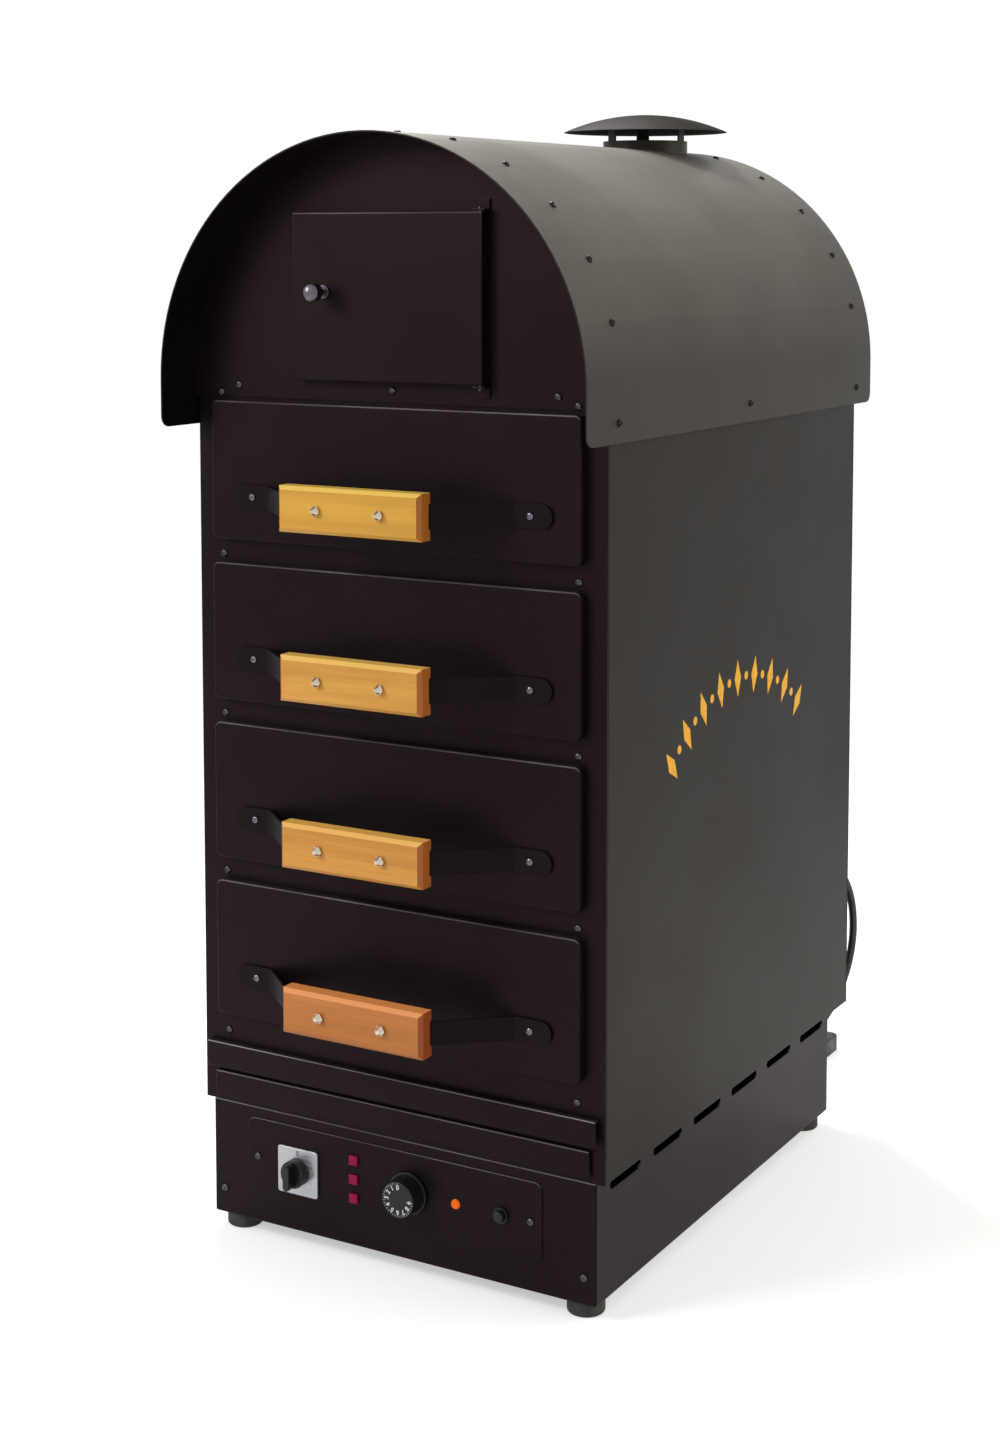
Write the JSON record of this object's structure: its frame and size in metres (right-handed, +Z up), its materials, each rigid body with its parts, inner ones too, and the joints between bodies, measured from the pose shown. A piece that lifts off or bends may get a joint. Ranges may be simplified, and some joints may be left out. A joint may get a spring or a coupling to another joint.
{
  "type": "baked potato oven",
  "caption": "Free-standing potato oven: baking drawers with wooden grips under a barrel-vaulted warming compartment with a door, a capped flue and a control panel on the plinth.",
  "frame": {"origin": "on the floor, at the middle of the box that the oven takes up without its mains lead", "axes": "+Z up, the drawers and the door face -Y, +X is to the right seen from the front"},
  "size_m": [0.5192, 0.9726, 1.2515],
  "materials": {
    "black_steel": "satin black powder coat",
    "black_strap": "semi-gloss black paint",
    "oven_steel": "brushed stainless",
    "flue_steel": "satin black powder coat",
    "mineral_wool": "soft mineral wool",
    "heater_sheath": "heat-darkened sheath",
    "dark_screw": "dark zinc",
    "chrome": "polished",
    "amber_wood": "varnished hardwood",
    "silver_plate": "satin silver",
    "red_lens": "translucent red",
    "amber_lens": "translucent amber",
    "black_plastic": "moulded",
    "rubber": "moulded rubber",
    "cord_rubber": "rubber cable sheath",
    "plug_rubber": "moulded rubber"
  },
  "bodies": {
    "cabinet": {"rubber_feet": "rubber", "base_plinth": "black_steel", "body_floor": "black_steel", "left_side_panel": "black_steel", "right_side_panel": "black_steel", "back_panel": "black_steel", "front_frame": "black_steel", "sill_strip": "black_steel", "lower_rail": "black_steel", "inner_liner": "oven_steel", "insulation": "mineral_wool", "drawer_runners": "oven_steel", "heating_elements": "heater_sheath", "compartment_floor": "black_steel", "arch_front_panel": "black_steel", "arch_rear_panel": "black_steel", "roof_sheet": "black_steel", "roof_screws": "dark_screw", "panel_screws": "dark_screw", "flue_pipe": "flue_steel", "flue_cap": "flue_steel", "flue_legs": "flue_steel", "pivot_brackets": "black_steel", "control_plate": "black_steel", "isolator_switch": "silver_plate", "red_lamps": "red_lens", "amber_lamp": "amber_lens", "thermostat_body": "black_plastic", "button_bush": "black_plastic", "terminal_block": "black_plastic", "cord_gland": "black_plastic", "power_cord": "cord_rubber", "cord_coil": "cord_rubber", "mains_plug": "plug_rubber"},
    "drawer_1": {"drawer_1_front": "black_steel", "drawer_1_tray": "oven_steel", "drawer_1_strap": "black_strap", "drawer_1_grip": "amber_wood", "drawer_1_fasteners": "chrome"},
    "drawer_2": {"drawer_2_front": "black_steel", "drawer_2_tray": "oven_steel", "drawer_2_strap": "black_strap", "drawer_2_grip": "amber_wood", "drawer_2_fasteners": "chrome"},
    "drawer_3": {"drawer_3_front": "black_steel", "drawer_3_tray": "oven_steel", "drawer_3_strap": "black_strap", "drawer_3_grip": "amber_wood", "drawer_3_fasteners": "chrome"},
    "drawer_4": {"drawer_4_front": "black_steel", "drawer_4_tray": "oven_steel", "drawer_4_strap": "black_strap", "drawer_4_grip": "amber_wood", "drawer_4_fasteners": "chrome"},
    "door": {"arch_door": "black_steel", "door_knob": "chrome", "door_pivots": "dark_screw"},
    "isolator_rotor": {"isolator_knob": "black_plastic"},
    "thermostat_rotor": {"thermostat_dial": "black_plastic"},
    "reset_plunger": {"reset_button": "black_plastic"}
  },
  "joints": [
    {"name": "drawer_1_slide", "type": "slide", "parent": "cabinet", "child": "drawer_1", "axis": [0, -1, 0], "range_m": [0, 0.42]},
    {"name": "drawer_2_slide", "type": "slide", "parent": "cabinet", "child": "drawer_2", "axis": [0, -1, 0], "range_m": [0, 0.42]},
    {"name": "drawer_3_slide", "type": "slide", "parent": "cabinet", "child": "drawer_3", "axis": [0, -1, 0], "range_m": [0, 0.42]},
    {"name": "drawer_4_slide", "type": "slide", "parent": "cabinet", "child": "drawer_4", "axis": [0, -1, 0], "range_m": [0, 0.42]},
    {"name": "door_hinge", "type": "hinge", "parent": "cabinet", "child": "door", "pos_m": [0.1105, -0.308, 1.0395], "axis": [0, 0, 1], "range_deg": [0, 115]},
    {"name": "isolator_turn", "type": "hinge", "parent": "cabinet", "child": "isolator_rotor", "pos_m": [-0.125, -0.303, 0.086], "axis": [0, 1, 0], "range_deg": [0, 90]},
    {"name": "thermostat_turn", "type": "hinge", "parent": "cabinet", "child": "thermostat_rotor", "pos_m": [0.017, -0.3, 0.092], "axis": [0, 1, 0], "range_deg": [0, 270]},
    {"name": "reset_press", "type": "slide", "parent": "cabinet", "child": "reset_plunger", "axis": [0, 1, 0], "range_m": [0, 0.003], "stiffness_N_per_m": 300, "springref_m": -0.0005}
  ]
}
